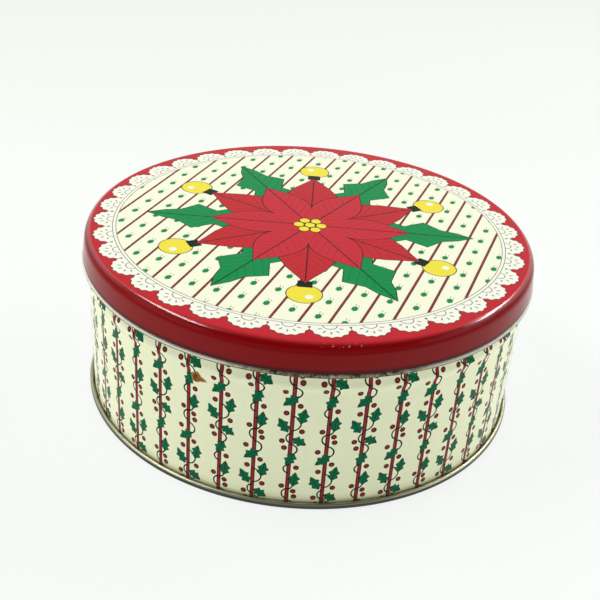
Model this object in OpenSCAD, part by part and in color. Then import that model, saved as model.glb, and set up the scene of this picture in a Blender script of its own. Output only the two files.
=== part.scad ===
// Round biscuit tin: a slip-on lid, a rolled body wall and a seamed-on base.
// All three pieces are pressed or rolled from one gauge of thin sheet.
// The frame has +Z up and its origin at the centre of the resting plane.

/* [Tin] */
// Height from the resting plane to the flat top of the lid
tin_h = 78; // [55:1:160]
// Thickness of the sheet
sheet_t = 0.3; // [0.2:0.05:0.5]

/* [Lid] */
// Diameter of the lid over the curl at its lower edge
lid_d = 203; // [140:1:300]
// Depth of the lid from its lower edge to its flat top
lid_h = 12; // [9:0.5:20]
// Outside radius of the shoulder between the top and the skirt
lid_shoulder_r = 2.5; // [2:0.1:4.5]
// Diameter of the curl that is rolled outwards at the lower edge of the skirt
lid_curl_d = 2; // [1.6:0.1:2.6]

/* [Fit of the lid] */
// Radial gap between the lid's skirt and the neck of the body
neck_clearance = 0.3; // [0.2:0.05:0.6]
// Gap between the lid's lower edge and the bead below it
bead_clearance = 0.3; // [0.2:0.05:0.6]
// Gap between the rim of the body and the inside of the lid
rim_clearance = 0.4; // [0.3:0.05:1]

/* [Body wall] */
// How far the wall lies inside the outside of the lid's curl
wall_inset = 2.6; // [2.2:0.1:6]
// Height from the lid's edge down to the middle of the soft ridge
ridge_drop = 7.5; // [6:0.5:25]
// Height of the soft ridge
ridge_h = 7; // [5:0.5:8]
// How far the soft ridge stands out from the wall
ridge_proud = 0.9; // [0.2:0.1:1.4]
// Height of the bead under the lid
bead_h = 2.4; // [1.6:0.1:3.2]
// How far the bead stands out past the lid
bead_proud = 0.3; // [0:0.1:1]
// Outside diameter of the curl at the rim
rim_curl_d = 2; // [1.6:0.1:3]
// Width of the lock seam that closes the wall at the back
lock_seam_w = 5; // [3:0.5:10]
// How far the lock seam stands in from the wall
lock_seam_t = 0.6; // [0.3:0.1:1]

/* [Base] */
// Height of the double seam round the base
seam_h = 2.8; // [2.4:0.1:5]
// How far the double seam stands out from the wall
seam_proud = 2.1; // [1.8:0.1:3]
// Gap between the layers of the double seam
seam_gap = 0.2; // [0.1:0.05:0.3]
// Height of the recessed panel above the resting plane
panel_lift = 3.6; // [3.2:0.1:8]
// Width of the raised step round the panel
panel_step_w = 6; // [3:0.5:15]
// Height of the raised step round the panel
panel_step_h = 0.8; // [0.4:0.1:1.5]

/* [Hidden] */
$fn = 240;

half_t = sheet_t / 2;
bend_steps = 12;
curl_steps = 24;
ridge_steps = 12;

// Lid, at the middle of its sheet
lid_r = lid_d / 2;
skirt_r = lid_r - lid_curl_d + half_t;
lid_edge_z = tin_h - lid_h;
lid_top_z = tin_h - half_t;
shoulder_bend_r = lid_shoulder_r - half_t;
shoulder_r = skirt_r + half_t - lid_shoulder_r;
shoulder_z = tin_h - lid_shoulder_r;
lid_curl_bend_r = lid_curl_d / 2 - half_t;
lid_curl_r = skirt_r + lid_curl_bend_r;
lid_curl_z = lid_edge_z + lid_curl_d / 2;

// Neck and rim curl, which fit inside the lid
neck_r = skirt_r - neck_clearance - sheet_t;
curl_bend_r = rim_curl_d / 2 - half_t;
curl_r = neck_r - curl_bend_r;
curl_room = lid_shoulder_r - sheet_t - rim_curl_d / 2 - rim_clearance;
curl_past_shoulder = max(0, curl_r - shoulder_r);
curl_rise = curl_room > 0 ? sqrt(max(0, pow(curl_room, 2) - pow(curl_past_shoulder, 2))) : curl_room;
curl_z = shoulder_z + curl_rise;
curl_end_angle = 280;

// Wall, ridge and bead, at the middle of the sheet
wall_r = lid_r - wall_inset - half_t;
ridge_z = lid_edge_z - ridge_drop;
bead_half_h = bead_h / 2 - half_t;
bead_root_r = max(wall_r, neck_r) + sheet_t;
bead_reach = lid_r + bead_proud - half_t - bead_root_r;
bead_z = lid_edge_z - bead_clearance - bead_h / 2;

// Double seam: the wall, the base's hook, the wall's hook and the outer skin lie side by side
seam_r = wall_r + seam_proud;
base_hook_r = wall_r + sheet_t + seam_gap;
wall_hook_r = base_hook_r + sheet_t + seam_gap;
chuck_r = wall_r - sheet_t - seam_gap;
seam_bend_r = (seam_r - base_hook_r) / 2;
wall_hook_bend_r = (wall_hook_r - wall_r) / 2;
foot_bend_r = sheet_t;
wall_hook_z = sheet_t + seam_gap + half_t + wall_hook_bend_r;
seam_bend_z = seam_h - half_t - seam_bend_r;
panel_z = panel_lift - half_t;
panel_bend_r = 2 * sheet_t;

// Lock seam
lock_seam_low_z = panel_lift + seam_gap;
lock_seam_high_z = ridge_z - ridge_h / 2;
lock_seam_angle = lock_seam_w / wall_r * 180 / PI;

// Points of an arc from angle a to angle b round (r, z)
function arc(r, z, bend, a, b, steps = bend_steps) =
    [for (i = [0 : steps]) let (t = a + (b - a) * i / steps) [r + bend * cos(t), z + bend * sin(t)]];

// Unit vector square to the line from p to q, on its left
function left_of(p, q) = let (d = q - p) [-d[1], d[0]] / norm(d);

// Offset of corner i of a path to its left by one unit, mitred between the lines that meet there
function mitre(path, i) =
    let (last = len(path) - 1)
    let (before = left_of(path[max(i, 1) - 1], path[max(i, 1)]))
    let (after = left_of(path[min(i, last - 1)], path[min(i, last - 1) + 1]))
    (before + after) / (1 + before * after);

// Outline of a sheet of constant thickness whose middle follows a path
function sheet_outline(path) = concat(
    [for (i = [0 : len(path) - 1]) path[i] + half_t * mitre(path, i)],
    [for (i = [len(path) - 1 : -1 : 0]) path[i] - half_t * mitre(path, i)]
);

// Sheet turned round the axis of the tin
module turned_sheet(path) {
    rotate_extrude() polygon(sheet_outline(path));
}

// Drawn lid: flat top, rounded shoulder, straight skirt and an edge curled outwards
module lid() {
    color("firebrick") turned_sheet(concat(
        [[0, lid_top_z]],
        arc(shoulder_r, shoulder_z, shoulder_bend_r, 90, 0),
        arc(lid_curl_r, lid_curl_z, lid_curl_bend_r, 180, 180 + curl_end_angle, curl_steps)
    ));
}

// Path of the wall from its hook in the base seam up to the curl at the rim
wall_path = concat(
    [[wall_hook_r, seam_bend_z]],
    arc(wall_hook_r - wall_hook_bend_r, wall_hook_z, wall_hook_bend_r, 0, -180),
    [for (i = [-ridge_steps : ridge_steps]) let (t = i / ridge_steps)
        [wall_r + ridge_proud * (1 + cos(180 * t)) / 2, ridge_z + ridge_h / 2 * t]],
    [[wall_r, bead_z - bead_half_h]],
    [for (p = arc(0, 0, 1, -90, 90)) [bead_root_r + bead_reach * p[0], bead_z + bead_half_h * p[1]]],
    [[neck_r, bead_z + bead_half_h]],
    arc(curl_r, curl_z, curl_bend_r, 0, curl_end_angle, curl_steps)
);

// Folded lock seam, seen on the inside of the wall at the back
module lock_seam() {
    inner_r = wall_r - half_t - lock_seam_t;
    rotate([0, 0, 90 - lock_seam_angle / 2])
        rotate_extrude(angle = lock_seam_angle)
            translate([inner_r, lock_seam_low_z])
                square([wall_r - inner_r, lock_seam_high_z - lock_seam_low_z]);
}

// Rolled wall with its hook, ridge, bead, neck and rim curl
module body_wall() {
    color("cornsilk") union() {
        turned_sheet(wall_path);
        lock_seam();
    }
}

// Base: hook and outer skin of the double seam, foot, chuck wall and recessed panel
module base() {
    color("silver") turned_sheet(concat(
        [[base_hook_r, wall_hook_z]],
        arc(seam_r - seam_bend_r, seam_bend_z, seam_bend_r, 180, 0),
        arc(seam_r - foot_bend_r, half_t + foot_bend_r, foot_bend_r, 0, -90),
        arc(chuck_r + foot_bend_r, half_t + foot_bend_r, foot_bend_r, -90, -180),
        arc(chuck_r - panel_bend_r, panel_z - panel_bend_r, panel_bend_r, 0, 90),
        [[chuck_r - panel_step_w, panel_z],
         [chuck_r - panel_step_w - panel_step_h, panel_z + panel_step_h],
         [0, panel_z + panel_step_h]]
    ));
}

lid();
body_wall();
base();
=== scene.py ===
import functools
import math

import bpy
from mathutils import Matrix, Vector

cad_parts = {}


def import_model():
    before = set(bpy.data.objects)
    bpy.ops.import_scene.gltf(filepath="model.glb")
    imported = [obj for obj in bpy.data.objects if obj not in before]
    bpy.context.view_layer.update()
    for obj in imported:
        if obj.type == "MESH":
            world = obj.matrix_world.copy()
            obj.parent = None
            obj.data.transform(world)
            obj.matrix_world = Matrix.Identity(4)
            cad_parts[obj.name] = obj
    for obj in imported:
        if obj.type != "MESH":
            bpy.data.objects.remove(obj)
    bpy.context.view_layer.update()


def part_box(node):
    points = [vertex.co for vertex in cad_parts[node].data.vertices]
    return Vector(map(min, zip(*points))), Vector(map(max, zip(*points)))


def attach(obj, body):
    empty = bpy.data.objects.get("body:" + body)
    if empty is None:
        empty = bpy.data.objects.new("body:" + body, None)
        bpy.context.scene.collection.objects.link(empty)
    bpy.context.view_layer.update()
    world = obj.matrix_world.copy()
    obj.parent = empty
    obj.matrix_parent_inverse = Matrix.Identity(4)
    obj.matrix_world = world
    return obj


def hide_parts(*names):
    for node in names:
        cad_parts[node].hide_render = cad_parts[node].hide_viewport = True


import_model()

# Sizes, in millimetres as on the tin; meshes are made in metres
MM = 0.001
# How far the meshes stay inside the CAD boxes, and a length or angle too small to count
TRIM = 0.01
TINY = 1e-6


def reach(node):
    """Radius about the axis, in millimetres, that stays just inside a CAD node's box."""
    low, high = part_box(node)
    return min(high.x, high.y, -low.x, -low.y) / MM - TRIM


def heights(node):
    """Lowest and highest level of a CAD node, in millimetres."""
    low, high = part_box(node)
    return low.z / MM, high.z / MM


# Lid: a long soft shoulder bends into a skirt that leans out and ends in a small roll; angles in degrees
SHEET = 0.3
LID_OUT_R = reach("lid")
LID_EDGE_Z, LID_TOP_Z = heights("lid")
LID_CURL_D = 2
SKIRT_R = LID_OUT_R - LID_CURL_D + SHEET / 2
SHOULDER_INSET = 2.35
SHOULDER_R = SKIRT_R - SHOULDER_INSET
SHOULDER_BEND_R = 3.2
SHOULDER_BEND_H = 5
SKIRT_LEAN = 7
SKIRT_SLOPE = math.tan(math.radians(SKIRT_LEAN))
SHOULDER_END = math.degrees(math.atan(SKIRT_SLOPE * SHOULDER_BEND_H / SHOULDER_BEND_R))
ROLL_BEND_R = 0.6
ROLL_END = -120

# Wall, with a soft ridge, a bead, a neck inside the lid and a curl at the rim
WALL_INSET = 2.6
WALL_R = LID_OUT_R - WALL_INSET - SHEET / 2
WALL_LOW_Z, RIM_Z = heights("body_wall")
RIDGE_DROP = 7.5
RIDGE_Z = LID_EDGE_Z - RIDGE_DROP
RIDGE_HALF_H = 3.5
RIDGE_PROUD = 0.9
NECK_GAP = 0.3
NECK_R = SKIRT_R - NECK_GAP - SHEET
RIM_BEND_R = 0.85
CURL_END = 280
BEAD_GAP = 0.3
BEAD_HALF_H = 0.65
BEAD_Z = LID_EDGE_Z - BEAD_GAP - SHEET / 2 - BEAD_HALF_H
BEAD_ROOT_R = max(WALL_R, NECK_R) + SHEET
BEAD_REACH = reach("body_wall") - SHEET / 2 - BEAD_ROOT_R

# Base and its double seam
SEAM_R = reach("base") - SHEET / 2
SEAM_H = 2.4
SEAM_GAP = 0.2
BASE_HOOK_R = WALL_R + SHEET + SEAM_GAP
WALL_HOOK_R = BASE_HOOK_R + SHEET + SEAM_GAP
SEAM_BEND_R = (SEAM_R - BASE_HOOK_R) / 2
SEAM_BEND_Z = SEAM_H - SHEET / 2 - SEAM_BEND_R
CHUCK_R = WALL_R - SHEET - SEAM_GAP
WALL_HOOK_BEND_R = (WALL_HOOK_R - WALL_R) / 2
WALL_HOOK_Z = WALL_LOW_Z + SHEET / 2 + WALL_HOOK_BEND_R
FOOT_BEND_R = SHEET
PANEL_BEND_R = 2 * SHEET
PANEL_LOW_Z = 3.45
PANEL_HIGH_Z = heights("base")[1] - SHEET / 2
PANEL_STEP_W = 6

# Lock seam at the back of the wall: a fold inside and a fine groove outside
SEAM_ANGLE = math.pi / 2
LOCK_SEAM_W = 5
LOCK_SEAM_T = 0.6
LOCK_SEAM_LOW_Z = PANEL_HIGH_Z + 1
LOCK_SEAM_HIGH_Z = RIDGE_Z - RIDGE_HALF_H - 0.1
LOCK_GROOVE = 0.12
LOCK_GROOVE_HALF_W = 0.15

# Steps round the axis, degrees along a bend, and lengths along a straight stretch
TURN_STEPS = 240
BEND_STEP = 7.5
RIDGE_STEPS = 16
STRAIGHT_STEP = 8
SUPPORT = 0.25
SHARP_ANGLE = math.radians(40)


def arc(r, z, bend_r, bend_z, start, end):
    """Points of an arc or part of an ellipse round (r, z), between two angles in degrees."""
    steps = math.ceil(abs(end - start) / BEND_STEP)
    turns = [math.radians(start + (end - start) * i / steps) for i in range(steps + 1)]
    return [(r + bend_r * math.cos(t), z + bend_z * math.sin(t)) for t in turns]


def supported(points):
    """Path through points, with extra points along its long straight stretches."""
    points = [Vector(p) for p in points]
    path = [points[0]]
    for before, after in zip(points, points[1:]):
        run = after - before
        inner = run.length - 2 * SUPPORT
        if inner > 2 * SUPPORT:
            count = math.ceil(inner / STRAIGHT_STEP)
            path += [before + run.normalized() * (SUPPORT + inner * k / count) for k in range(count + 1)]
        path.append(after)
    return path


def mitre(path, i):
    """Offset to the left of a path at one of its points, for a sheet one unit thick on that side."""
    def left(p, q):
        d = (q - p).normalized()
        return Vector((-d.y, d.x))
    last = len(path) - 1
    before = left(path[max(i, 1) - 1], path[max(i, 1)])
    after = left(path[min(i, last - 1)], path[min(i, last - 1) + 1])
    return (before + after) / (1 + before.dot(after))


def turned_sheet(name, path, print_point, bake_point, slot_at, angles, bend=None):
    """Sheet turned round the axis, with a UV map for its print and one for baking.

    print_point, bake_point and slot_at take the side of the sheet, left or right of the path, and the
    point's number on the path. bend may shift a point's radius at an angle.
    """
    count = len(path)
    offsets = [mitre(path, i) * SHEET / 2 for i in range(count)]
    outline = [("left", i, path[i] + offsets[i]) for i in range(count)]
    outline += [("right", i, path[i] - offsets[i]) for i in reversed(range(count))]
    turns = len(angles) - 1

    # One ring of vertices for each point of the outline, or a single vertex on the axis
    vertices = []
    rings = []
    for side, i, point in outline:
        on_axis = point.x < TINY
        ring = []
        for angle in angles[:1] if on_axis else angles[:-1]:
            r = point.x + (bend(side, point, angle) if bend else 0)
            ring.append(len(vertices))
            vertices.append((r * math.cos(angle) * MM, r * math.sin(angle) * MM, point.y * MM))
        rings.append(ring * turns if on_axis else ring)

    # Faces between neighbouring rings
    faces = []
    slots = []
    print_uvs = []
    bake_uvs = []
    for j in range(len(outline)):
        n = (j + 1) % len(outline)
        if outline[j][2].x < TINY and outline[n][2].x < TINY:
            continue
        side = outline[j][0]
        for k in range(turns):
            corners = [(j, k), (n, k), (n, k + 1), (j, k + 1)]
            face = []
            for a, b in corners:
                vertex = rings[a][b % turns]
                if vertex in face:
                    continue
                face.append(vertex)
                i = outline[a][1]
                print_uvs.append(print_point(side, i, angles[b]))
                bake_uvs.append(bake_point(side, i, angles[b], angles[k]))
            faces.append(face)
            slots.append(slot_at(side, min(outline[j][1], outline[n][1])))

    mesh = bpy.data.meshes.new(name)
    mesh.from_pydata(vertices, [], faces)
    for layer, uvs in (("OFBake", bake_uvs), ("Print", print_uvs)):
        uv_layer = mesh.uv_layers.new(name=layer)
        uv_layer.data.foreach_set("uv", [x for uv in uvs for x in uv])
    mesh.polygons.foreach_set("material_index", slots)
    mesh.polygons.foreach_set("use_smooth", [True] * len(faces))
    mesh.set_sharp_from_angle(angle=SHARP_ANGLE)
    piece = bpy.data.objects.new(name, mesh)
    bpy.context.scene.collection.objects.link(piece)
    return piece


def run_lengths(path):
    """Length along a path up to each of its points."""
    lengths = [0]
    for i in range(1, len(path)):
        lengths.append(lengths[-1] + (path[i] - path[i - 1]).length)
    return lengths


# Bake layout for a disc-like piece: a large disc for one side and a small one for the other
DISC_MARGIN = 0.008
LARGE_DISC_R = 0.44
SMALL_DISC_R = 0.125


def two_disc_layout(path, large_side, from_axis):
    """Bake coordinates that unroll each side of a turned sheet into a disc, by length from the axis."""
    lengths = run_lengths(path)
    total = lengths[-1]
    centres = {
        True: DISC_MARGIN + LARGE_DISC_R,
        False: 1 - DISC_MARGIN - SMALL_DISC_R,
    }

    def bake_point(side, i, angle, _):
        large = side == large_side
        share = (lengths[i] if from_axis else total - lengths[i]) / total
        r = share * (LARGE_DISC_R if large else SMALL_DISC_R)
        return centres[large] + r * math.cos(angle), centres[large] + r * math.sin(angle)

    return bake_point


# Bake layout for the wall: three rows for the printed outside and a strip of two halves for the rest
ROWS = 3
ROW_W = 0.91
ROW_H = 0.287
ROW_PITCH = 0.295
ROW_LOW = 0.006
STRIP_LOW = 0.895
STRIP_H = 0.095
STRIP_HALF = 0.5
STRIP_FILL = 0.48


def wall_layout(path, printed):
    """Bake coordinates of the wall; printed says whether a side is printed at a point of the path."""
    lengths = run_lengths(path)
    shown = [i for i in range(len(path)) if printed("right", i)]
    first = lengths[shown[0]]
    last = lengths[shown[-1] + 1]

    def bake_point(side, i, angle, face_angle):
        turn = (angle - SEAM_ANGLE) / math.tau
        row = math.floor((face_angle - SEAM_ANGLE) / math.tau * ROWS + TINY)
        if side == "right" and first - TINY <= lengths[i] <= last + TINY:
            u = ROW_LOW + (turn * ROWS - row) * ROW_W
            v = ROW_LOW + row * ROW_PITCH + (lengths[i] - first) / (last - first) * ROW_H
            return u, v
        half = 0 if side == "left" else STRIP_HALF
        u = ROW_LOW + turn * (1 - 2 * ROW_LOW)
        v = STRIP_LOW + STRIP_H * (half + STRIP_FILL * lengths[i] / lengths[-1])
        return u, v

    return bake_point


def srgb(red, green, blue):
    """Linear colour of an 8-bit screen colour."""
    def linear(x):
        x /= 255
        return x / 12.92 if x <= 0.04045 else ((x + 0.055) / 1.055) ** 2.4
    return linear(red), linear(green), linear(blue), 1


# Colours of the lid
CRIMSON = srgb(194, 38, 46)
# Darker copies of the red: painted shade on the skirt and at its lower edge
SKIRT_SHADED_CRIMSON = srgb(132, 4, 9)
EDGE_SHADED_CRIMSON = srgb(70, 2, 4)
CREAM = srgb(247, 249, 220)
DOILY_WHITE = srgb(248, 248, 232)
INK = srgb(52, 50, 44)
STRIPE_RED = srgb(136, 44, 46)
STRIPE_EDGE = srgb(92, 58, 48)
DOT_GREEN = srgb(0, 140, 74)
INNER_PETAL_RED = srgb(200, 42, 56)
GOLD = srgb(242, 226, 66)

# Colours of the wall
WALL_CREAM = srgb(245, 248, 212)
# The bead's plain cream, painted lighter than the wall's as a highlight on its top
BEAD_CREAM_AND_HIGHLIGHT = srgb(254, 252, 234)
HOLLY_GREEN = srgb(0, 106, 68)
LEAF_INK = srgb(8, 34, 22)
TENDRIL_INK = srgb(22, 28, 14)
POLE_RED = srgb(152, 44, 56)
POLE_INK = srgb(56, 20, 16)
BERRY_RED = srgb(150, 46, 42)
BERRY_INK = srgb(46, 18, 16)

# Colours of bare metal, dirt and wear, and of painted shade on the bead and on the foot of the base seam
TIN = srgb(204, 202, 196)
STAIN = srgb(150, 146, 134)
YELLOWED = srgb(204, 198, 142)
DULLED = srgb(176, 174, 132)
# Olive also paints shade: the dark line on the lower half of the bead
OLIVE = srgb(96, 104, 72)
CHIP_EDGE = srgb(206, 176, 120)
RUST = srgb(150, 92, 40)
GRIME = srgb(120, 100, 62)
GRIME_DARK = srgb(58, 50, 36)
SCUFF = srgb(236, 190, 178)
SEAM_DIRT = srgb(186, 185, 158)
# Painted shade with dirt, for the foot of the base seam that faces the floor
FOOT_SHADE_AND_DIRT = srgb(66, 72, 66)

# Width over which a printed edge blends, in millimetres
EDGE_SOFT = 0.08


class Field:
    """A number that varies over a surface; arithmetic on it adds math nodes to a material."""

    def __init__(self, tree, socket):
        self.tree = tree
        self.socket = socket

    def math(self, operation, *others, clamp=False):
        node = self.tree.nodes.new("ShaderNodeMath")
        node.operation = operation
        node.use_clamp = clamp
        for slot, value in zip(node.inputs, (self, *others)):
            if isinstance(value, Field):
                self.tree.links.new(value.socket, slot)
            else:
                slot.default_value = value
        return Field(self.tree, node.outputs[0])

    def __add__(self, other):
        return self.math("ADD", other)

    def __sub__(self, other):
        return self.math("SUBTRACT", other)

    def __mul__(self, other):
        return self.math("MULTIPLY", other)

    def __truediv__(self, other):
        return self.math("DIVIDE", other)

    def __abs__(self):
        return self.math("ABSOLUTE")

    __radd__ = __add__

    def __rsub__(self, other):
        return self.math("MULTIPLY_ADD", -1, other)

    def cos(self):
        return self.math("COSINE")

    def sin(self):
        return self.math("SINE")

    def floor(self):
        return self.math("FLOOR")

    def length_with(self, other):
        """Length of the line from the origin to the point (self, other)."""
        return (self * self + other * other).math("SQRT")

    def angle_from(self, across):
        """Angle of the point (across, self), from the across axis."""
        return self.math("ARCTAN2", across)

    def wrap(self, low, high):
        return self.math("WRAP", high, low)

    def fold(self, period):
        """The field brought into one period about nought."""
        return self.wrap(-period / 2, period / 2)

    def ramp(self, slope, start=0):
        """The field times a slope, from a start, kept between nought and one."""
        return self.math("MULTIPLY_ADD", slope, start, clamp=True)

    def above(self, edge, soft=EDGE_SOFT):
        """One where the field is above an edge, nought below it, blended over a soft width."""
        return (self - edge).ramp(1 / soft, 0.5)

    def below(self, edge, soft=EDGE_SOFT):
        """One where the field is below an edge, nought above it, blended over a soft width."""
        return (edge - self).ramp(1 / soft, 0.5)

    def line(self, half_width, soft=EDGE_SOFT):
        """One along the line where the field is nought."""
        return abs(self).below(half_width, soft)

    def curve(self, points):
        """The field put through straight stretches between (x, y) points."""
        node = self.tree.nodes.new("ShaderNodeFloatCurve")
        knots = node.mapping.curves[0].points
        knots[0].location = points[0]
        knots[-1].location = points[-1]
        for point in points[1:-1]:
            knots.new(*point)
        for knot in knots:
            knot.handle_type = "VECTOR"
        node.mapping.update()
        self.tree.links.new(self.socket, node.inputs["Value"])
        return Field(self.tree, node.outputs[0])


def least(fields):
    """The smallest of several fields at each place."""
    return functools.reduce(lambda one, other: one.math("MINIMUM", other), fields)


def most(fields):
    """The largest of several fields at each place."""
    return functools.reduce(lambda one, other: one.math("MAXIMUM", other), fields)


# Sockets of a mix node that blends colours
MIX_SHARE = 0
MIX_UNDER = 6
MIX_OVER = 7
MIX_RESULT = 2


class Surface:
    """A material made of layers of colour on a Principled shader."""

    def __init__(self, name):
        self.material = bpy.data.materials.new(name)
        self.material.use_nodes = True
        self.tree = self.material.node_tree
        self.shader = self.tree.nodes["Principled BSDF"]
        self.colour = None

    def node(self, kind, **values):
        node = self.tree.nodes.new(kind)
        for key, value in values.items():
            setattr(node, key, value)
        return node

    def split(self, vector):
        """The three parts of a vector socket."""
        node = self.node("ShaderNodeSeparateXYZ")
        self.tree.links.new(vector, node.inputs[0])
        return [Field(self.tree, part) for part in node.outputs]

    def print_fields(self):
        """The two print coordinates, in millimetres."""
        return self.split(self.node("ShaderNodeUVMap", uv_map="Print").outputs[0])[:2]

    def object_fields(self):
        """The three coordinates on the object, in metres."""
        return self.split(self.node("ShaderNodeTexCoord").outputs["Object"])

    def height(self):
        """Height on the object, in millimetres."""
        return self.object_fields()[2] / MM

    def noise(self, scale, detail=2, roughness=0.5, stretch=(1, 1, 1)):
        """Noise over the object, from 0 to 1, with scale in waves per metre."""
        place = self.node("ShaderNodeTexCoord").outputs["Object"]
        sized = self.node("ShaderNodeVectorMath", operation="MULTIPLY")
        self.tree.links.new(place, sized.inputs[0])
        sized.inputs[1].default_value = stretch
        noise = self.node("ShaderNodeTexNoise")
        self.tree.links.new(sized.outputs[0], noise.inputs["Vector"])
        noise.inputs["Scale"].default_value = scale
        noise.inputs["Detail"].default_value = detail
        noise.inputs["Roughness"].default_value = roughness
        return Field(self.tree, noise.outputs[0])

    def distance(self, u, v, point):
        """Distance from a point of the print."""
        place = self.node("ShaderNodeCombineXYZ")
        self.tree.links.new(u.socket, place.inputs[0])
        self.tree.links.new(v.socket, place.inputs[1])
        measure = self.node("ShaderNodeVectorMath", operation="DISTANCE")
        self.tree.links.new(place.outputs[0], measure.inputs[0])
        measure.inputs[1].default_value = (*point, 0)
        return Field(self.tree, measure.outputs["Value"])

    def start(self, colour):
        """Begins the layers with one colour all over."""
        self.colour = colour

    def lay(self, colour, mask, strength=1):
        """Lays a colour over what is there, at a strength, where the mask is one."""
        if strength < 1:
            mask = mask * strength
        mix = self.node("ShaderNodeMix", data_type="RGBA")
        self.tree.links.new(mask.socket, mix.inputs[MIX_SHARE])
        mix.inputs[MIX_OVER].default_value = colour
        under = mix.inputs[MIX_UNDER]
        if isinstance(self.colour, tuple):
            under.default_value = self.colour
        else:
            self.tree.links.new(self.colour, under)
        self.colour = mix.outputs[MIX_RESULT]

    def set(self, **values):
        """Sets or links sockets of the shader, named with underscores for blanks."""
        for key, value in values.items():
            slot = self.shader.inputs[key.replace("_", " ")]
            if isinstance(value, Field):
                self.tree.links.new(value.socket, slot)
            else:
                slot.default_value = value

    def bump(self, height_field, depth):
        """Bumps of a depth in metres."""
        bump = self.node("ShaderNodeBump")
        bump.inputs["Strength"].default_value = 1
        bump.inputs["Distance"].default_value = depth
        self.tree.links.new(height_field.socket, bump.inputs["Height"])
        self.tree.links.new(bump.outputs[0], self.shader.inputs["Normal"])

    def finish(self):
        self.tree.links.new(self.colour, self.shader.inputs["Base Color"])
        return self.material


# Half-width of a holly leaf from its stem to its tip, with two points on each side
HOLLY_OUTLINE = [
    (0, 0.08), (0.1, 0.34), (0.24, 0.92), (0.4, 0.54), (0.58, 1), (0.72, 0.46), (0.86, 0.3), (1, 0),
]
# Half-width of a plain pointed petal
PETAL_OUTLINE = [
    (0, 0.1), (0.1, 0.42), (0.25, 0.76), (0.4, 0.97), (0.5, 1),
    (0.62, 0.93), (0.76, 0.66), (0.9, 0.26), (1, 0),
]


def leaf(u, v, stem, tip, width, outline):
    """Distance inside a leaf's edge and distance from its midrib, in millimetres, and place along it."""
    length = math.dist(stem, tip)
    cosine = (tip[0] - stem[0]) / length
    sine = (tip[1] - stem[1]) / length
    du = u - stem[0]
    dv = v - stem[1]
    along = (du * cosine + dv * sine) / length
    across = abs(dv * cosine - du * sine)
    edge = along.curve(outline) * (width / 2) - across
    return edge, across, along


# Wall print: poles with a tendril, holly leaves and berries, every second pole dropped by half a period
POLE_COUNT = 44
WALL_ROUND = math.tau * (WALL_R + SHEET / 2)
POLE_PITCH = WALL_ROUND / POLE_COUNT
POLE_ANGLE = math.radians(-90.5)
POLE_INK_HALF_W = 0.85
POLE_RED_HALF_W = 0.45
HALF_PERIOD = 27.9
PERIOD_START = -7.5
PRINT_TOP_Z = 51.5
# Stem and tip of each leaf, and the middle of each berry, as steps from the pole and down the period
HOLLY_W = 4.7
WALL_LEAVES = [
    ((1.5, -2.3), (-3.9, 2.3)),
    ((3.3, 10.2), (4.7, 3.2)),
    ((-1.5, 14.6), (-5.2, 8.4)),
    ((0.9, 17.6), (5.9, 20.5)),
    ((1.7, 25.2), (-1.3, 31.0)),
    ((2.2, 41.4), (2.8, 34.4)),
]
LEAF_INK_EDGE = -0.12
LEAF_FILL_EDGE = 0.22
RIB_EDGE = 0.15
RIB_HALF_W = 0.13
FAR = 9
BERRY_R = 1.16
BERRY_RED_R = 0.7
WALL_BERRIES = [
    (2.65, 2.0), (-2.45, 5.7), (4.0, 14.0), (-3.4, 19.1), (-2.4, 22.4),
    (2.9, 31.9), (-2.3, 41.7), (2.4, 44.1), (2.9, 46.8), (-3.3, -4.2),
]
# Loops of the tendril: middle level, half height and reach to the side
TENDRIL_LOOPS = [
    (17.5, 2.2, -1.9),
    (23.0, 2.4, 2.7),
    (32.8, 2.0, -2.1),
    (45.5, 2.4, -2.1),
    (-4.2, 2.7, 3.0),
    (10.4, 3.4, 3.4),
    (40.5, 2.6, 2.2),
]
TENDRIL_HALF_W = 0.3
TENDRIL_CUT = 4

# Wall: yellowed near the base and duller under the bead with age, and darker olive in the corner above the
# seam
YELLOWED_TOP_Z = 6.4
YELLOWED_FADE = 0.25
DULLED_H = 4
DULLED_FADE = 0.22
CORNER_H = 1.2
# Painted shade as a dark line on the lower half of the bead, middle and reach of the grime in front, and
# the rusty chip on the print
BEAD_FOOT = 0.1
BEAD_SHADE_DROP = 0.35
BEAD_SHADE_HALF_W = 0.6
GRIME_HALF_H = BEAD_HALF_H + 0.2
GRIME_MIDDLE = 12
GRIME_REACH = 32
CHIP_ENDS = ((-40.6, -2.1), (-34.6, -1.0))
CHIP_W = 4.8
CHIP_OUTLINE = [(0, 0.4), (0.12, 0.95), (0.3, 1), (0.6, 0.5), (1, 0)]
CHIP_RAGGED = 1.6
CHIP_BARE_EDGE = -0.3
CHIP_RUST_EDGE = 0.1
CHIP_DARK_EDGE = 1.2
# Levels of the fine noise above which grime shows
GRIME_LEVEL = 0.36
GRIME_DARK_LEVEL = 0.54
CHIP_DARK_LEVEL = 0.52
# Gloss of the wall, and the depth of its slight waves in metres
WALL_ROUGHNESS = 0.16
WALL_ROUGHNESS_SPREAD = 0.08
WALL_GLOSS = 0.07
WALL_WAVE = 0.00012


def wall_print_point(side, i, angle):
    """Print coordinates on the wall: length round from the front pole, and depth below the first leaf."""
    return (angle - POLE_ANGLE) / math.tau * WALL_ROUND, PRINT_TOP_Z - wall_path[i].y


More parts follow.
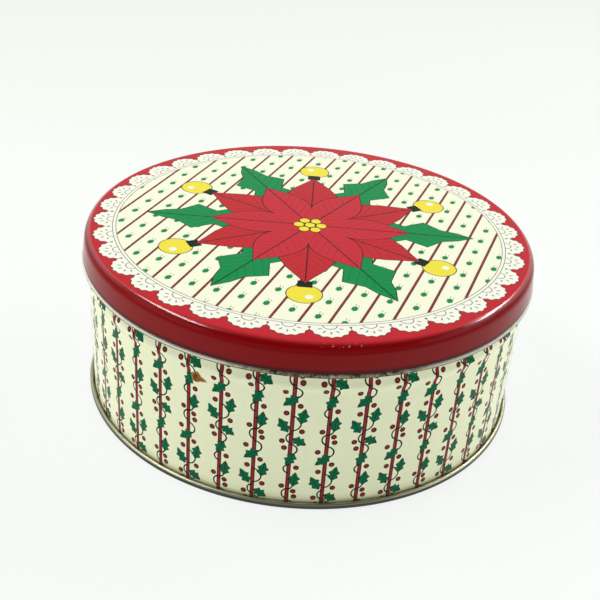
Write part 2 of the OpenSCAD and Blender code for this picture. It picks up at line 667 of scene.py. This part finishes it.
def lay_poles(surface, across, down):
    """Pole, tendril, holly leaves and berries, by steps across from the pole and down the period."""
    surface.lay(POLE_INK, across.line(POLE_INK_HALF_W))
    surface.lay(POLE_RED, across.line(POLE_RED_HALF_W, soft=0.35))

    # Tendril, as half loops on one side of the pole or the other
    loops = []
    for level, half_h, side_reach in TENDRIL_LOOPS:
        ring = (across / side_reach).length_with((down - level) / half_h)
        off = abs(ring - 1) * min(abs(side_reach), half_h)
        behind = across * -math.copysign(TENDRIL_CUT, side_reach)
        loops.append(most([off, behind]))
    surface.lay(TENDRIL_INK, least(loops).below(TENDRIL_HALF_W, soft=0.12))

    # Holly leaves with an ink edge and a midrib
    edges = []
    ribs = []
    for stem, tip in WALL_LEAVES:
        edge, rib, _ = leaf(across, down, stem, tip, HOLLY_W, HOLLY_OUTLINE)
        edges.append(edge)
        ribs.append(rib + edge.below(RIB_EDGE, soft=0.02) * FAR)
    inside = most(edges)
    surface.lay(LEAF_INK, inside.above(LEAF_INK_EDGE, soft=0.12))
    surface.lay(HOLLY_GREEN, inside.above(LEAF_FILL_EDGE, soft=0.18))
    surface.lay(LEAF_INK, least(ribs).below(RIB_HALF_W, soft=0.12), strength=0.85)

    # Berries
    berry = least([surface.distance(across, down, middle) for middle in WALL_BERRIES])
    surface.lay(BERRY_INK, berry.below(BERRY_R, soft=0.15))
    surface.lay(BERRY_RED, berry.below(BERRY_RED_R, soft=0.25))


def wall_print_material():
    surface = Surface("wall_print")
    u, v = surface.print_fields()
    pole = (u / POLE_PITCH + 0.5).floor()
    odd = pole.wrap(0, 2)
    across = u - pole * POLE_PITCH
    down = (v + odd * HALF_PERIOD).wrap(PERIOD_START, PERIOD_START + 2 * HALF_PERIOD)
    from_front = u.fold(WALL_ROUND)
    height = surface.height()
    patches = surface.noise(scale=45, detail=4)
    specks = surface.noise(scale=420, detail=3, roughness=0.7)

    # Cream lacquer, yellowed towards the base and dull under the bead, below the print
    surface.start(WALL_CREAM)
    surface.lay(YELLOWED, (YELLOWED_TOP_Z - height).ramp(YELLOWED_FADE) * patches, strength=0.9)
    surface.lay(DULLED, (height - (BEAD_Z - DULLED_H)).ramp(DULLED_FADE) * patches)
    lay_poles(surface, across, down)

    # Plain bead above the print, in a lighter cream as a painted highlight on its top, with a dark line of
    # painted shade on its lower half, and specks of grime in front
    surface.lay(BEAD_CREAM_AND_HIGHLIGHT, height.above(BEAD_Z - BEAD_HALF_H - BEAD_FOOT, soft=0.2))
    surface.lay(OLIVE, (height - (BEAD_Z - BEAD_SHADE_DROP)).line(BEAD_SHADE_HALF_W, soft=0.25), strength=0.9)
    in_front = ((from_front - GRIME_MIDDLE) / GRIME_REACH).line(1, soft=0.5)
    dirty = (height - BEAD_Z).line(GRIME_HALF_H, soft=0.4) * in_front
    surface.lay(GRIME, dirty * specks.above(GRIME_LEVEL, soft=0.2), strength=0.7)
    surface.lay(GRIME_DARK, dirty * specks.above(GRIME_DARK_LEVEL, soft=0.1), strength=0.9)

    # Rusty chip
    chip = leaf(from_front, v, *CHIP_ENDS, CHIP_W, CHIP_OUTLINE)[0]
    ragged = chip + (specks - 0.5) * CHIP_RAGGED
    surface.lay(CHIP_EDGE, ragged.above(CHIP_BARE_EDGE, soft=0.3))
    surface.lay(RUST, ragged.above(CHIP_RUST_EDGE, soft=0.3))
    dark = ragged.above(CHIP_DARK_EDGE, soft=0.6) * specks.above(CHIP_DARK_LEVEL, soft=0.1)
    surface.lay(GRIME_DARK, dark, strength=0.8)

    # Darker olive in the corner above the base seam
    surface.lay(OLIVE, (height + patches).below(SEAM_H + CORNER_H, soft=2), strength=0.4)

    surface.set(Roughness=WALL_ROUGHNESS + patches * WALL_ROUGHNESS_SPREAD, Specular_IOR_Level=WALL_GLOSS)
    surface.bump(surface.noise(scale=22, detail=1), WALL_WAVE)
    return surface.finish()


# Lid print, on its own centre a little off the lid's
PRINT_CENTRE = (-0.45, -0.6)
PRINT_STRETCH = 1.025
# Doily: scallops with a wavy edge, an inner arc and dashes
SCALLOPS = 36
SCALLOP_ANGLE = math.radians(-83.1)
CUSP_R = 86.9
SCALLOP_H = 7.0
SCALLOP_HALF_W = 7.6
SCALLOP_WAVES = 14
SCALLOP_WAVE_H = 0.28
DOILY_INK_EDGE = -0.12
DOILY_FILL_EDGE = 0.2
INNER_ARC_R = 2.7
INNER_ARC_HALF_W = 0.17
DASH_TURN = math.radians(36)
DASH_MIDDLE_R = 4.1
DASH_HALF_L = 0.75
DASH_HALF_W = 0.26
DASH_LOW = 0.3
# Double ring, stripes and rows of spots, each spot with two short strokes beside it
RING_RS = (85.6, 84.2)
RING_HALF_W = 0.15
FIELD_R = RING_RS[1] - 0.2
STRIPE_HEADING = math.radians(71.3)
STRIPE_PITCH = 10.65
STRIPE_PHASE = 4.2
STRIPE_HALF_W = 0.58
STRIPE_RED_HALF_W = 0.38
DOT_PITCH = 11.954
DOT_PHASE = -73.73
DOT_HALF_W = 1.2
DOT_HALF_L = 1.75
DOT_POINTS = 6
DOT_POINT_H = 0.08
DOT_INK_SIZE = 1.08
DOT_FILL_SIZE = 0.94
STROKES = ((-0.4, 3.1), (0.9, 2.6))
STROKE_HALF_W = 0.14
STROKE_HALF_L = 0.65
# Motif: places along a sector of the lid, and sizes
MOTIF_FOLD = 6
BAUBLE_PLACE = (63, 0)
BAUBLE_INK_R = 7.3
BAUBLE_R = 6.9
GLINT_PLACE = (65, 2)
GLINT_R = 1.6
CAP_U = 55
CAP_HALF_L = 2.6
CAP_EXTRA_W = 0.4
VEINS = 9
VEIN_SLANT = 0.22
VEIN_HALF_W = 0.03
VEIN_EDGE = 1.2
VEIN_START = 0.12
MIDRIB_HALF_W = 0.3
MIDRIB_EDGE = 0.8
PETAL_INK_EDGE = -0.35
PETAL_FILL_EDGE = 0.1
CENTRE_BEAD_PLACE = (5, 0)
CENTRE_BEAD_INK_R = 2.6
CENTRE_BEAD_R = 2.2
# Shading of the shoulder and skirt by depth below the top, and the scuffs in front
SKIRT_START = 0.03
SKIRT_FADE = 1.5
EDGE_SHADE_H = 1.7
EDGE_SHADE_DROP = LID_TOP_Z - LID_EDGE_Z - EDGE_SHADE_H
SCUFF_ANGLE = math.radians(-81)
SCUFF_HALF_TURN = 0.09
SCUFF_DROP = 0.7
SCUFF_HALF_H = 0.45
SCUFF_LEVEL = 0.65
# Matt print on the top, burnished where the shoulder is handled, and glossy low on the skirt
TOP_GLOSS = 0.05
BURNISH_GLOSS = 0.6
BURNISH_START = 0.06
BURNISH_END = 1
SKIRT_GLOSS = 0.13
SKIRT_GLOSS_DROP = 3.2
LID_ROUGHNESS = 0.14
LID_ROUGHNESS_SPREAD = 0.06
LID_WAVE = 0.0001


def lid_print_point(side, i, angle):
    """Print coordinates on the lid: its own X and Y, in millimetres."""
    r = lid_path[i].x
    return r * math.cos(angle), r * math.sin(angle)


def lay_doily(surface, radius, angle):
    """White lace edge of scallops round the field, by radius and angle on the print."""
    around = (angle - SCALLOP_ANGLE).fold(math.tau / SCALLOPS) * CUSP_R
    out = radius - CUSP_R
    lobe = (around / SCALLOP_HALF_W).length_with(out / SCALLOP_H)
    lobe_angle = around.angle_from(out)
    wave = (lobe_angle * SCALLOP_WAVES).cos() * SCALLOP_WAVE_H
    inside = most([(1 - lobe) * SCALLOP_H + wave, CUSP_R - radius])
    surface.lay(INK, inside.above(DOILY_INK_EDGE, soft=0.12))
    surface.lay(DOILY_WHITE, inside.above(DOILY_FILL_EDGE, soft=0.12))

    # Inner arc
    from_ring = around.length_with(radius - RING_RS[0])
    inner_arc = (from_ring - INNER_ARC_R).line(INNER_ARC_HALF_W, soft=0.15) * radius.above(RING_RS[0])
    surface.lay(INK, inner_arc, strength=0.9)

    # Dashes that fan out in the scallop
    from_cusp = around.length_with(out)
    dash = (lobe_angle.fold(DASH_TURN) * from_cusp).line(DASH_HALF_W, soft=0.2)
    dashes = dash * (from_cusp - DASH_MIDDLE_R).line(DASH_HALF_L, soft=0.3) * out.above(DASH_LOW)
    surface.lay(INK, dashes, strength=0.85)


def lay_stripes(surface, x, y, radius):
    """Cream field with slanting stripes, rows of small green spots and a double ring round it."""
    surface.lay(CREAM, radius.below(RING_RS[1], soft=0.1))
    field = radius.below(FIELD_R, soft=0.1)
    cosine = math.sin(STRIPE_HEADING)
    sine = math.cos(STRIPE_HEADING)
    over = x * cosine - y * sine
    along = x * sine + y * cosine
    stripe = (over - STRIPE_PHASE).fold(STRIPE_PITCH)
    surface.lay(STRIPE_EDGE, stripe.line(STRIPE_HALF_W) * field)
    surface.lay(STRIPE_RED, stripe.line(STRIPE_RED_HALF_W, soft=0.2) * field)

    # Spots in rows midway between the stripes
    row = (over - STRIPE_PHASE - STRIPE_PITCH / 2).fold(STRIPE_PITCH)
    place = (along - DOT_PHASE).fold(DOT_PITCH)
    wide = row / DOT_HALF_W
    long = place / DOT_HALF_L
    spot = wide.length_with(long) + (long.angle_from(wide) * DOT_POINTS).cos() * DOT_POINT_H
    surface.lay(LEAF_INK, spot.below(DOT_INK_SIZE, soft=0.1) * field, strength=0.7)
    surface.lay(DOT_GREEN, spot.below(DOT_FILL_SIZE, soft=0.12) * field)
    for side_step, up_step in STROKES:
        thin = (row - side_step).line(STROKE_HALF_W, soft=0.12)
        short = (place - up_step).line(STROKE_HALF_L, soft=0.2)
        surface.lay(STRIPE_EDGE, thin * short * field, strength=0.75)

    for ring_r in RING_RS:
        surface.lay(INK, (radius - ring_r).line(RING_HALF_W, soft=0.15), strength=0.85)


def lay_motif(surface, x, y, radius, angle):
    """Red flower with green leaves, gold baubles and a beaded centre, in the middle of the lid."""
    share = math.tau / MOTIF_FOLD

    def sector(shift):
        folded = (angle + shift).fold(share)
        return radius * folded.cos(), radius * folded.sin()

    even = sector(0)
    odd = sector(share / 2)

    # Gold baubles with a white glint, between the green leaves
    bauble = surface.distance(*odd, BAUBLE_PLACE)
    cap = most([abs(odd[0] - CAP_U), abs(odd[1]) - CAP_EXTRA_W])
    surface.lay(INK, bauble.below(BAUBLE_INK_R))
    surface.lay(GOLD, bauble.below(BAUBLE_R))
    surface.lay(DOILY_WHITE, surface.distance(*odd, GLINT_PLACE).below(GLINT_R, soft=0.3))
    surface.lay(LEAF_INK, cap.below(CAP_HALF_L))

    # Green leaves, then two whorls of red petals: sector, inner end, outer end, width, outline and colours
    whorls = [
        (even, 22, 72, 25, HOLLY_OUTLINE, DOT_GREEN, LEAF_INK),
        (odd, 4, 54, 24, PETAL_OUTLINE, CRIMSON, POLE_INK),
        (even, 2, 44, 21, PETAL_OUTLINE, INNER_PETAL_RED, POLE_INK),
    ]
    for place, inner, outer, width, outline, fill, ink in whorls:
        edge, rib, along = leaf(*place, (inner, 0), (outer, 0), width, outline)
        veins = (along * VEINS - rib * VEIN_SLANT).fold(1).line(VEIN_HALF_W, soft=0.02)
        surface.lay(ink, edge.above(PETAL_INK_EDGE))
        surface.lay(fill, edge.above(PETAL_FILL_EDGE))
        surface.lay(ink, rib.below(MIDRIB_HALF_W) * edge.above(MIDRIB_EDGE), strength=0.9)
        veined = edge.above(VEIN_EDGE) * along.above(VEIN_START, soft=0.02)
        surface.lay(ink, veins * veined, strength=0.55)

    # Beads in the centre
    bead = least([surface.distance(*even, CENTRE_BEAD_PLACE), surface.distance(x, y, (0, 0))])
    surface.lay(LEAF_INK, bead.below(CENTRE_BEAD_INK_R))
    surface.lay(GOLD, bead.below(CENTRE_BEAD_R))


def lid_print_material():
    surface = Surface("lid_print")
    x, y = surface.print_fields()
    px = (x - PRINT_CENTRE[0]) / PRINT_STRETCH
    py = y - PRINT_CENTRE[1]
    radius = px.length_with(py)
    angle = py.angle_from(px)
    drop = LID_TOP_Z - surface.height()

    # Red border, with painted shade darkening it on the skirt and at its edge
    surface.start(CRIMSON)
    surface.lay(SKIRT_SHADED_CRIMSON, (drop - SKIRT_START).ramp(SKIRT_FADE))
    surface.lay(EDGE_SHADED_CRIMSON, drop.above(EDGE_SHADE_DROP, soft=1.6))
    lay_doily(surface, radius, angle)
    lay_stripes(surface, x, y, radius)
    lay_motif(surface, px, py, radius, angle)

    # Scuffs on the front of the shoulder
    scuffs = surface.noise(scale=900, detail=2).above(SCUFF_LEVEL, soft=0.06)
    on_shoulder = (drop - SCUFF_DROP).line(SCUFF_HALF_H, soft=0.3)
    in_front = (y.angle_from(x) - SCUFF_ANGLE).line(SCUFF_HALF_TURN, soft=0.05)
    surface.lay(SCUFF, scuffs * on_shoulder * in_front, strength=0.6)

    burnished = drop.above(BURNISH_START, soft=0.06) * drop.below(BURNISH_END, soft=0.5)
    low_skirt = drop.above(SKIRT_GLOSS_DROP, soft=1.5)
    gloss = TOP_GLOSS + low_skirt * SKIRT_GLOSS + burnished * BURNISH_GLOSS
    patches = surface.noise(scale=40, detail=3)
    surface.set(Roughness=LID_ROUGHNESS + patches * LID_ROUGHNESS_SPREAD, Specular_IOR_Level=gloss)
    surface.bump(surface.noise(scale=18, detail=1), LID_WAVE)
    return surface.finish()


# Bare metal: levels of the dirt on the base seam and of the painted shade with dirt on its foot, roughness,
# and depth of its grain in metres
SEAM_DIRT_TOP_Z = SEAM_H + 0.2
FOOT_SHADE_AND_DIRT_TOP_Z = SEAM_H * 0.8
SEAM_GRIME_HALF_H = 0.3
STAIN_LEVEL = 0.62
SEAM_GRIME_LEVEL = 0.42
TIN_ROUGHNESS = 0.28
TIN_ROUGHNESS_SPREAD = 0.2
TIN_GRAIN = 0.00001
TIN_GRAIN_STRETCH = (1, 1, 0.2)


def tinplate_material():
    surface = Surface("tinplate")
    stains = surface.noise(scale=60, detail=5, roughness=0.6)
    height = surface.height()
    surface.start(TIN)
    surface.lay(STAIN, stains.above(STAIN_LEVEL, soft=0.25), strength=0.5)
    surface.lay(SEAM_DIRT, height.below(SEAM_DIRT_TOP_Z, soft=0.3))
    # Painted shade, with dirt, on the lower part of the seam that faces the floor
    surface.lay(FOOT_SHADE_AND_DIRT, height.below(FOOT_SHADE_AND_DIRT_TOP_Z, soft=0.6))
    on_seam = (height - SEAM_H).line(SEAM_GRIME_HALF_H, soft=0.5)
    surface.lay(GRIME, on_seam * stains.above(SEAM_GRIME_LEVEL, soft=0.3), strength=0.3)
    surface.set(Metallic=1.0, Roughness=TIN_ROUGHNESS + stains * TIN_ROUGHNESS_SPREAD)
    surface.bump(surface.noise(scale=700, detail=2, stretch=TIN_GRAIN_STRETCH), TIN_GRAIN)
    return surface.finish()


lid_print = lid_print_material()
wall_print = wall_print_material()
tinplate = tinplate_material()

# Paths along the middle of the sheet
lid_path = supported(
    [(0, LID_TOP_Z - SHEET / 2)]
    + arc(SHOULDER_R, LID_TOP_Z - SHEET / 2 - SHOULDER_BEND_H,
          SHOULDER_BEND_R, SHOULDER_BEND_H, 90, SHOULDER_END)
    + arc(LID_OUT_R - SHEET / 2 - ROLL_BEND_R, LID_EDGE_Z + SHEET / 2 + ROLL_BEND_R,
          ROLL_BEND_R, ROLL_BEND_R, SKIRT_LEAN, ROLL_END)
)
ridge_turns = [k / RIDGE_STEPS for k in range(-RIDGE_STEPS, RIDGE_STEPS + 1)]
ridge = [
    (WALL_R + RIDGE_PROUD * (1 + math.cos(math.pi * t)) / 2, RIDGE_Z + RIDGE_HALF_H * t)
    for t in ridge_turns
]
wall_path = supported(
    [(WALL_HOOK_R, SEAM_BEND_Z)]
    + arc(WALL_HOOK_R - WALL_HOOK_BEND_R, WALL_HOOK_Z, WALL_HOOK_BEND_R, WALL_HOOK_BEND_R, 0, -180)
    + ridge
    + [(WALL_R, BEAD_Z - BEAD_HALF_H)]
    + arc(BEAD_ROOT_R, BEAD_Z, BEAD_REACH, BEAD_HALF_H, -90, 90)
    + [(NECK_R, BEAD_Z + BEAD_HALF_H)]
    + arc(NECK_R - RIM_BEND_R, RIM_Z - SHEET / 2 - RIM_BEND_R, RIM_BEND_R, RIM_BEND_R, 0, CURL_END)
)
base_path = supported(
    [(BASE_HOOK_R, WALL_HOOK_Z)]
    + arc(SEAM_R - SEAM_BEND_R, SEAM_BEND_Z, SEAM_BEND_R, SEAM_BEND_R, 180, 0)
    + arc(SEAM_R - FOOT_BEND_R, SHEET / 2 + FOOT_BEND_R, FOOT_BEND_R, FOOT_BEND_R, 0, -90)
    + arc(CHUCK_R + FOOT_BEND_R, SHEET / 2 + FOOT_BEND_R, FOOT_BEND_R, FOOT_BEND_R, -90, -180)
    + arc(CHUCK_R - PANEL_BEND_R, PANEL_LOW_Z - PANEL_BEND_R, PANEL_BEND_R, PANEL_BEND_R, 0, 90)
    + [
        (CHUCK_R - PANEL_STEP_W, PANEL_LOW_Z),
        (CHUCK_R - PANEL_STEP_W - PANEL_HIGH_Z + PANEL_LOW_Z, PANEL_HIGH_Z),
        (0, PANEL_HIGH_Z),
    ]
)

# Angles round the axis, with extra ones at the edges of the lock seam
even_angles = [SEAM_ANGLE + math.tau * k / TURN_STEPS for k in range(TURN_STEPS + 1)]
seam_half = LOCK_SEAM_W / 2 / WALL_R
groove_half = LOCK_GROOVE_HALF_W / WALL_R
seam_turns = [seam_half - groove_half, seam_half, seam_half + groove_half]
seam_turns += [math.tau - turn for turn in seam_turns]
wall_angles = sorted(even_angles + [SEAM_ANGLE + turn for turn in seam_turns])


def lock_seam_bend(side, point, angle):
    """Shift of the wall's radius at the lock seam: a fold inside and a groove outside."""
    turn = (angle - SEAM_ANGLE + math.pi) % math.tau - math.pi
    if not LOCK_SEAM_LOW_Z < point.y < LOCK_SEAM_HIGH_Z or point.x > WALL_R + SHEET:
        return 0
    if side == "left":
        return -LOCK_SEAM_T if abs(turn) <= seam_half + TINY else 0
    return -LOCK_GROOVE if abs(turn - seam_half) < TINY else 0


# Points of the wall's path whose outside is printed, past the hook and up to the end of the bead
HOOK_POINTS = 3
SAME_R = 0.001
BEAD_END_R = NECK_R + 0.2
BEAD_END_Z = BEAD_Z - 0.5
on_wall = [i for i, p in enumerate(wall_path) if abs(p.x - WALL_R) < SAME_R]
on_bead = [i for i, p in enumerate(wall_path) if p.x > BEAD_END_R and p.y > BEAD_END_Z]
first_printed = min(i for i in on_wall if i > HOOK_POINTS)
last_printed = max(on_bead)


def wall_is_printed(side, i):
    return side == "right" and first_printed <= i <= last_printed


lid = turned_sheet(
    "lid_shell", lid_path, lid_print_point, two_disc_layout(lid_path, "left", True),
    lambda side, i: 0 if side == "left" else 1, even_angles,
)
wall = turned_sheet(
    "wall_shell", wall_path, wall_print_point, wall_layout(wall_path, wall_is_printed),
    lambda side, i: 0 if wall_is_printed(side, i) else 1, wall_angles, lock_seam_bend,
)
base = turned_sheet(
    "base_shell", base_path, lambda side, i, angle: (0, 0), two_disc_layout(base_path, "left", False),
    lambda side, i: 0, even_angles,
)
for piece, body, node, slot, materials in (
    (lid, "lid", "lid", "lid_enamel", (lid_print, tinplate)),
    (wall, "tin_body", "body_wall", "wall_print", (wall_print, tinplate)),
    (base, "tin_body", "base", "tinplate", (tinplate,)),
):
    for material in materials:
        piece.data.materials.append(material)
    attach(piece, body)
    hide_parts(node)


# Stage: a white floor that keeps a soft shadow; its half width is in metres
FLOOR_HALF = 3
FLOOR_COLOUR = srgb(246, 249, 247)
FLOOR_NEAR = srgb(253, 255, 253)
FLOOR_FAR = srgb(247, 251, 241)
FLOOR_FRONT = srgb(92, 92, 90)
FLOOR_GLOW = 0.8
FLOOR_ROUGHNESS = 0.7
FLOOR_GLOSS = 0.2
# Where the floor begins to change towards the back and the front, in metres, and how fast
FLOOR_FAR_Y = 0.1
FLOOR_FAR_FADE = 3
FLOOR_FRONT_Y = -0.24
FLOOR_FRONT_FADE = 5


def floor():
    mesh = bpy.data.meshes.new("floor")
    corners = [(-1, -1), (1, -1), (1, 1), (-1, 1)]
    mesh.from_pydata([(x * FLOOR_HALF, y * FLOOR_HALF, 0) for x, y in corners], [], [(0, 1, 2, 3)])
    plane = bpy.data.objects.new("floor", mesh)
    bpy.context.scene.collection.objects.link(plane)
    surface = Surface("floor")
    surface.set(Base_Color=FLOOR_COLOUR, Roughness=FLOOR_ROUGHNESS, Specular_IOR_Level=FLOOR_GLOSS)

    # White glow where the floor is seen or mirrored, greyer at the back and dim where its front is mirrored
    tree = surface.tree
    back = surface.object_fields()[1]
    rays = surface.node("ShaderNodeLightPath").outputs
    seen, *mirrored = (
        Field(tree, rays[kind]) for kind in ("Is Camera Ray", "Is Glossy Ray", "Is Transmission Ray")
    )
    surface.start(FLOOR_NEAR)
    surface.lay(FLOOR_FAR, (back - FLOOR_FAR_Y).ramp(FLOOR_FAR_FADE))
    surface.lay(FLOOR_FRONT, (FLOOR_FRONT_Y - back).ramp(FLOOR_FRONT_FADE) * (1 - seen))
    glow = surface.node("ShaderNodeEmission")
    tree.links.new(surface.colour, glow.inputs["Color"])
    blend = surface.node("ShaderNodeMixShader")
    tree.links.new((most([seen, *mirrored]) * FLOOR_GLOW).socket, blend.inputs[0])
    tree.links.new(surface.shader.outputs[0], blend.inputs[1])
    tree.links.new(glow.outputs[0], blend.inputs[2])
    tree.links.new(blend.outputs[0], tree.nodes["Material Output"].inputs["Surface"])
    mesh.materials.append(surface.material)


# World: a white sweep round the horizon, higher at the back, under a dim room
SWEEP_COLOUR = srgb(252, 255, 252)
ROOM_LIGHT = 0.08
SWEEP_LIGHT = 0.8
SWEEP_LOW = 0.35
SWEEP_BACK = 0.4
SWEEP_BACK_FADE = 1.5
SWEEP_SOFT = 0.25


def world():
    made = bpy.data.worlds.new("studio")
    made.use_nodes = True
    tree = made.node_tree
    background = tree.nodes["Background"]
    split = tree.nodes.new("ShaderNodeSeparateXYZ")
    tree.links.new(tree.nodes.new("ShaderNodeTexCoord").outputs["Generated"], split.inputs[0])
    back = Field(tree, split.outputs[1]).ramp(SWEEP_BACK_FADE)
    up = Field(tree, split.outputs[2])
    sweep = (back * SWEEP_BACK + SWEEP_LOW - up).above(0, soft=SWEEP_SOFT)
    tree.links.new((sweep * SWEEP_LIGHT + ROOM_LIGHT).socket, background.inputs["Strength"])
    background.inputs["Color"].default_value = SWEEP_COLOUR
    bpy.context.scene.world = made


def softbox(name, azimuth, elevation, distance, size, power):
    """Area lamp in a direction from the lid, in degrees and metres, aimed at it."""
    aim = Vector((0, 0, LID_TOP_Z * MM))
    turn = math.radians(azimuth)
    rise = math.radians(elevation)
    heading = Vector((math.cos(turn) * math.cos(rise), math.sin(turn) * math.cos(rise), math.sin(rise)))
    lamp = bpy.data.lights.new(name, "AREA")
    lamp.shape = "RECTANGLE"
    lamp.size, lamp.size_y = size
    lamp.energy = power
    obj = bpy.data.objects.new(name, lamp)
    obj.location = aim + heading * distance
    obj.rotation_euler = (-heading).to_track_quat("-Z", "Y").to_euler()
    bpy.context.scene.collection.objects.link(obj)


# Camera, as fitted to the edges of the lid, skirt and base in the photograph; metres and radians
CAMERA_DISTANCE = 0.4592
CAMERA_HEIGHT_ANGLE = 0.5982
CAMERA_YAW = -0.0060
CAMERA_PITCH = -0.5263
CAMERA_ROLL = 0.0806
FOCAL_PIXELS = 924.74
PHOTO_PIXELS = 600
SENSOR = 36


def camera():
    lens = bpy.data.cameras.new("camera")
    lens.sensor_width = SENSOR
    lens.lens = FOCAL_PIXELS / PHOTO_PIXELS * SENSOR
    obj = bpy.data.objects.new("camera", lens)
    forward = Vector((
        math.sin(CAMERA_YAW) * math.cos(CAMERA_PITCH),
        math.cos(CAMERA_YAW) * math.cos(CAMERA_PITCH),
        math.sin(CAMERA_PITCH),
    ))
    right = forward.cross(Vector((0, 0, 1))).normalized()
    up = right.cross(forward)
    turned_right = right * math.cos(CAMERA_ROLL) + up * math.sin(CAMERA_ROLL)
    turned_up = up * math.cos(CAMERA_ROLL) - right * math.sin(CAMERA_ROLL)
    turn = Matrix((turned_right, turned_up, -forward)).transposed().to_4x4()
    place = Vector((0, -math.cos(CAMERA_HEIGHT_ANGLE), math.sin(CAMERA_HEIGHT_ANGLE))) * CAMERA_DISTANCE
    obj.matrix_world = Matrix.Translation(place) @ turn
    bpy.context.scene.collection.objects.link(obj)
    bpy.context.scene.camera = obj


floor()
world()
# Two thin strips light the top and streak the shoulder, and two low boxes light the wall
softbox("left_strip", 176, 54, 1.2, (0.95, 0.11), 7.2)
softbox("right_strip", 36, 38, 1.2, (0.85, 0.11), 6.8)
softbox("left_box", 205, 17, 1.25, (0.9, 0.5), 3.2)
softbox("right_box", -14, 17, 1.25, (0.9, 0.5), 3.3)
camera()
bpy.context.scene.view_settings.view_transform = "Standard"

bpy.context.view_layer.update()
